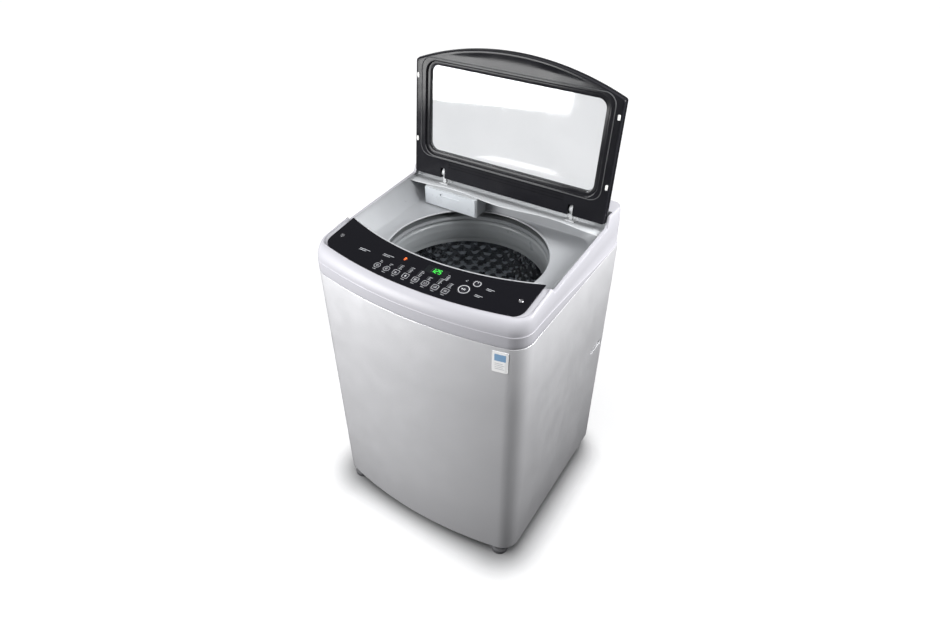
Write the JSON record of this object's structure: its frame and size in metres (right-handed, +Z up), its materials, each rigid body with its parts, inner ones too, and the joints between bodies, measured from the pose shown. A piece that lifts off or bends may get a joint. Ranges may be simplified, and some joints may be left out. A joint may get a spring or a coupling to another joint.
{
  "type": "top load washing machine",
  "caption": "Free-standing top load washing machine with a bowed front, hinged glass lid shown open, black key panel, hung tub, spinning basket and direct drive.",
  "frame": {"origin": "centre of the bounding box's base, on the floor under the feet", "axes": "+Z up; -Y is the bowed front with the keys, +Y the rear wall with the hose ports; +X to the right as seen by the user"},
  "size_m": [0.59, 0.552, 1.2214],
  "materials": {
    "body_silver": "metallic silver paint",
    "rear_sheet": "plain galvanised grey",
    "base_grey": "moulded",
    "cover_pearl": "pearl silver",
    "panel_black": "mirror gloss",
    "trim_grey": "satin silver",
    "case_white": "moulded",
    "board_green": "lacquered board",
    "display_dark": "smoked window over green digits",
    "cap_black": "gloss",
    "bracket_grey": "satin grey",
    "dispenser_grey": "satin grey",
    "valve_blue": "moulded",
    "switch_white": "moulded",
    "badge_white": "printed plate",
    "clip_silver": "satin silver",
    "rod_steel": "zinc plated",
    "spring_steel": "oiled",
    "outlet_grey": "moulded",
    "key_black": "gloss with light icons",
    "drawer_grey": "pale translucent grey",
    "lid_black": "piano black",
    "lid_glass": "tempered, lightly tinted",
    "seal_grey": "soft",
    "bumper_white": "soft",
    "pin_steel": "ground",
    "tub_blue": "moulded polypropylene",
    "tub_cover_grey": "moulded",
    "housing_alu": "die cast",
    "bearing_steel": "ground",
    "seal_black": "soft",
    "stator_copper": "wound coils in plastic",
    "valve_grey": "moulded",
    "cup_white": "moulded",
    "drum_steel": "embossed stainless",
    "ring_grey": "moulded",
    "hub_alu": "die cast",
    "shaft_steel": "ground",
    "filter_white": "moulded",
    "pulsator_grey": "satin",
    "rotor_steel": "black coated",
    "clutch_ivory": "moulded",
    "foot_black": "moulded"
  },
  "bodies": {
    "cabinet": {"cabinet_shell": "body_silver", "rear_panel": "rear_sheet", "base_frame": "base_grey", "top_cover": "cover_pearl", "control_panel": "panel_black", "panel_trim": "trim_grey", "control_board_case": "case_white", "control_board": "board_green", "display_module": "display_dark", "panel_screw_caps": "cap_black", "hinge_bracket_left": "bracket_grey", "hinge_bracket_right": "bracket_grey", "dispenser_housing": "dispenser_grey", "water_inlet_valve": "valve_blue", "lid_switch": "switch_white", "badge_plate": "badge_white", "side_hose_clip": "clip_silver", "suspension_rods": "rod_steel", "suspension_springs": "spring_steel", "drain_outlet": "outlet_grey"},
    "key_1": {"key_1": "key_black"},
    "key_2": {"key_2": "key_black"},
    "key_3": {"key_3": "key_black"},
    "key_4": {"key_4": "key_black"},
    "key_5": {"key_5": "key_black"},
    "key_6": {"key_6": "key_black"},
    "key_7": {"key_7": "key_black"},
    "key_8": {"key_8": "key_black"},
    "start_pause_button": {"start_pause_button": "key_black"},
    "power_button": {"power_button": "key_black"},
    "drawer": {"detergent_drawer": "drawer_grey"},
    "lid": {"lid_outer_frame": "lid_black", "lid_inner_frame": "lid_black", "lid_glass": "lid_glass", "lid_seal": "seal_grey", "lid_bumpers": "bumper_white", "lid_hinge_pins": "pin_steel"},
    "tub": {"outer_tub": "tub_blue", "tub_cover": "tub_cover_grey", "bearing_housing": "housing_alu", "upper_bearing": "bearing_steel", "lower_bearing": "bearing_steel", "shaft_seal": "seal_black", "stator": "stator_copper", "drain_valve": "valve_grey", "suspension_cups": "cup_white"},
    "basket": {"drum": "drum_steel", "balance_ring": "ring_grey", "drum_hub": "hub_alu", "spin_shaft": "shaft_steel", "lint_filters": "filter_white"},
    "pulsator": {"pulsator": "pulsator_grey", "pulsator_bolt": "pin_steel", "wash_shaft": "shaft_steel", "rotor": "rotor_steel"},
    "clutch": {"clutch_coupler": "clutch_ivory"},
    "foot_front_left": {"foot_front_left": "foot_black"},
    "foot_front_right": {"foot_front_right": "foot_black"},
    "foot_rear_left": {"foot_rear_left": "foot_black"},
    "foot_rear_right": {"foot_rear_right": "foot_black"}
  },
  "joints": [
    {"name": "key_1_press", "type": "slide", "parent": "cabinet", "child": "key_1", "axis": [0, 0.1289, -0.9917], "range_m": [0, 0.0008], "stiffness_N_per_m": 900, "springref_m": -0.0012},
    {"name": "key_2_press", "type": "slide", "parent": "cabinet", "child": "key_2", "axis": [0, 0.1289, -0.9917], "range_m": [0, 0.0008], "stiffness_N_per_m": 900, "springref_m": -0.0012},
    {"name": "key_3_press", "type": "slide", "parent": "cabinet", "child": "key_3", "axis": [0, 0.1289, -0.9917], "range_m": [0, 0.0008], "stiffness_N_per_m": 900, "springref_m": -0.0012},
    {"name": "key_4_press", "type": "slide", "parent": "cabinet", "child": "key_4", "axis": [0, 0.1289, -0.9917], "range_m": [0, 0.0008], "stiffness_N_per_m": 900, "springref_m": -0.0012},
    {"name": "key_5_press", "type": "slide", "parent": "cabinet", "child": "key_5", "axis": [0, 0.1289, -0.9917], "range_m": [0, 0.0008], "stiffness_N_per_m": 900, "springref_m": -0.0012},
    {"name": "key_6_press", "type": "slide", "parent": "cabinet", "child": "key_6", "axis": [0, 0.1289, -0.9917], "range_m": [0, 0.0008], "stiffness_N_per_m": 900, "springref_m": -0.0012},
    {"name": "key_7_press", "type": "slide", "parent": "cabinet", "child": "key_7", "axis": [0, 0.1289, -0.9917], "range_m": [0, 0.0008], "stiffness_N_per_m": 900, "springref_m": -0.0012},
    {"name": "key_8_press", "type": "slide", "parent": "cabinet", "child": "key_8", "axis": [0, 0.1289, -0.9917], "range_m": [0, 0.0008], "stiffness_N_per_m": 900, "springref_m": -0.0012},
    {"name": "start_pause_button_press", "type": "slide", "parent": "cabinet", "child": "start_pause_button", "axis": [0, 0.1289, -0.9917], "range_m": [0, 0.0008], "stiffness_N_per_m": 900, "springref_m": -0.0012},
    {"name": "power_button_press", "type": "slide", "parent": "cabinet", "child": "power_button", "axis": [0, 0.1289, -0.9917], "range_m": [0, 0.0008], "stiffness_N_per_m": 900, "springref_m": -0.0012},
    {"name": "drawer_slide", "type": "slide", "parent": "cabinet", "child": "drawer", "axis": [0, -1, 0], "range_m": [0, 0.04]},
    {"name": "lid_hinge", "type": "hinge", "parent": "cabinet", "child": "lid", "pos_m": [0, 0.19, 0.8846], "axis": [1, 0, 0], "range_deg": [0, 99.2]},
    {"name": "tub_bounce", "type": "slide", "parent": "cabinet", "child": "tub", "axis": [0, 0, 1], "range_m": [-0.015, 0.012], "stiffness_N_per_m": 9000, "springref_m": 0.03193, "deforming": ["suspension_springs"]},
    {"name": "basket_spin", "type": "hinge", "parent": "tub", "child": "basket", "pos_m": [0, 0, 0.3], "axis": [0, 0, 1], "continuous": true},
    {"name": "pulsator_spin", "type": "hinge", "parent": "tub", "child": "pulsator", "pos_m": [0, 0, 0.3], "axis": [0, 0, 1], "continuous": true},
    {"name": "clutch_shift", "type": "slide", "parent": "basket", "child": "clutch", "axis": [0, 0, -1], "range_m": [0, 0.006]},
    {"name": "foot_front_left_level", "type": "slide", "parent": "cabinet", "child": "foot_front_left", "axis": [0, 0, -1], "range_m": [0, 0.012]},
    {"name": "foot_front_right_level", "type": "slide", "parent": "cabinet", "child": "foot_front_right", "axis": [0, 0, -1], "range_m": [0, 0.012]},
    {"name": "foot_rear_left_level", "type": "slide", "parent": "cabinet", "child": "foot_rear_left", "axis": [0, 0, -1], "range_m": [0, 0.012]},
    {"name": "foot_rear_right_level", "type": "slide", "parent": "cabinet", "child": "foot_rear_right", "axis": [0, 0, -1], "range_m": [0, 0.012]}
  ]
}
